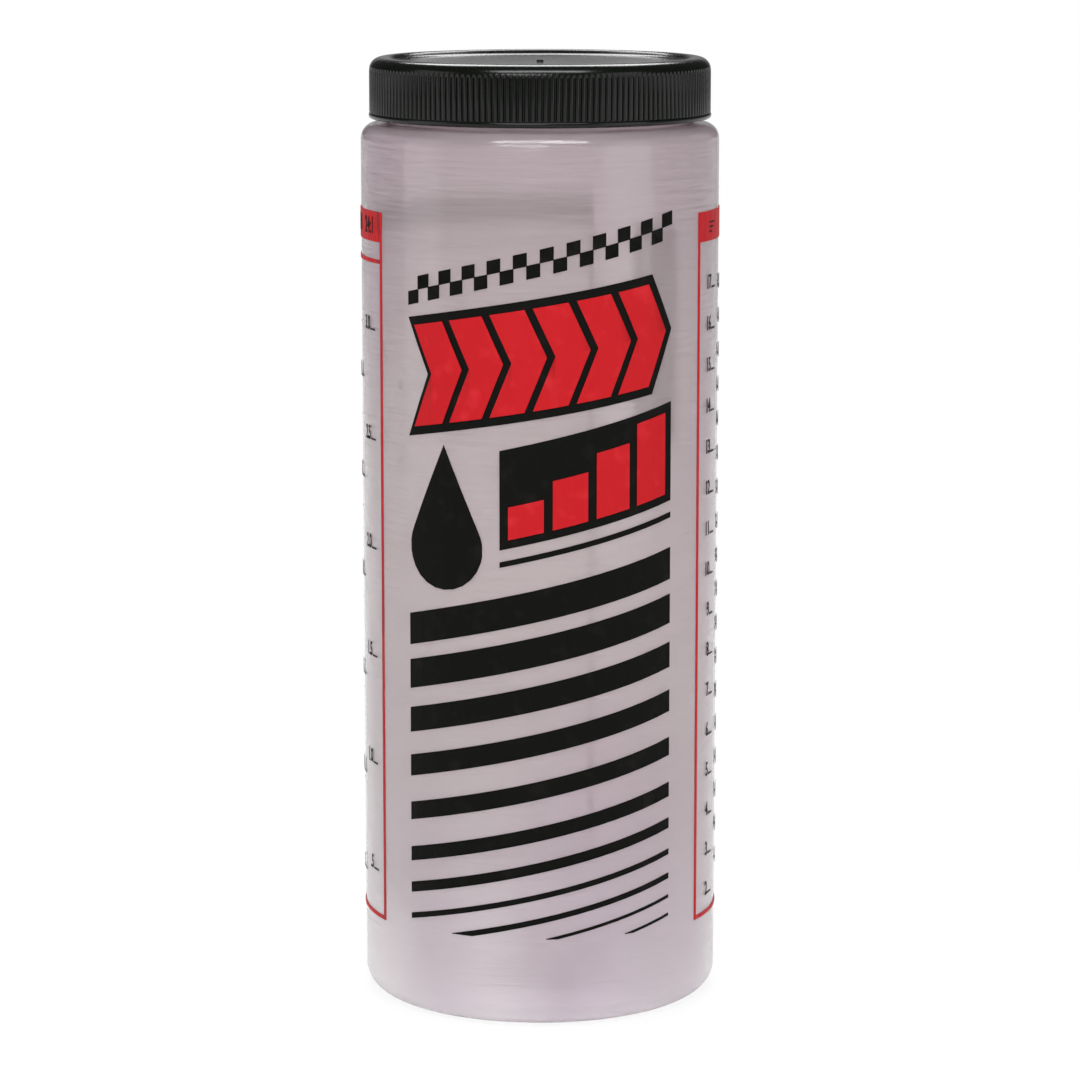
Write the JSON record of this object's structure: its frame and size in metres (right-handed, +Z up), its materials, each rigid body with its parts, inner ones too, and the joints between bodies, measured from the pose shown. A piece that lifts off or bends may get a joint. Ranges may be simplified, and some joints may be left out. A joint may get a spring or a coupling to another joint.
{
  "type": "fuel mixing bottle",
  "caption": "Wide-mouth translucent measuring bottle for mixing oil into fuel, with printed scales and a ribbed black screw cap",
  "frame": {"origin": "centre of the base on the surface it stands on", "axes": "+Z up along the bottle's axis, printed front towards -Y, +X to the right seen from the front"},
  "size_m": [0.0708, 0.071, 0.1871],
  "materials": {
    "translucent_plastic": "milky translucent polyethylene, satin, with faint ripples from the mould",
    "black_plastic": "black moulded polypropylene, satin",
    "liner_foam": "white foamed polyethylene sheet",
    "black_ink": "opaque black screen print",
    "red_ink": "opaque red screen print"
  },
  "bodies": {
    "bottle": {"bottle": "translucent_plastic", "print_stripe_1": "black_ink", "print_stripe_2": "black_ink", "print_stripe_3": "black_ink", "print_stripe_4": "black_ink", "print_stripe_5": "black_ink", "print_stripe_6": "black_ink", "print_stripe_7": "black_ink", "print_stripe_8": "black_ink", "print_stripe_9": "black_ink", "print_stripe_10": "black_ink", "print_stripe_11": "black_ink", "print_arrow_plate": "black_ink", "print_chevron_1": "red_ink", "print_chevron_2": "red_ink", "print_chevron_3": "red_ink", "print_chevron_4": "red_ink", "print_chevron_5": "red_ink", "print_chevron_6": "red_ink", "print_chequer_strip": "black_ink", "print_oil_drop": "black_ink", "print_gauge_plate": "black_ink", "print_gauge_bar_1": "red_ink", "print_gauge_bar_2": "red_ink", "print_gauge_bar_3": "red_ink", "print_gauge_bar_4": "red_ink", "print_rule": "black_ink", "print_volume_panel": "red_ink", "print_ratio_panel": "red_ink", "print_notice_field": "red_ink"},
    "liner": {"cap_liner": "liner_foam"},
    "cap": {"screw_cap": "black_plastic"}
  },
  "joints": [
    {"name": "cap_lift", "type": "slide", "parent": "bottle", "child": "liner", "axis": [0, 0, 1], "range_m": [0, 0.01269]},
    {"name": "cap_turn", "type": "hinge", "parent": "liner", "child": "cap", "pos_m": [0, 0, 0.178], "axis": [0, 0, 1], "range_deg": [0, 1080]}
  ],
  "couplings": [
    {"joint": "cap_lift", "follows": "cap_turn", "m_per_rad": 0.00067322}
  ]
}
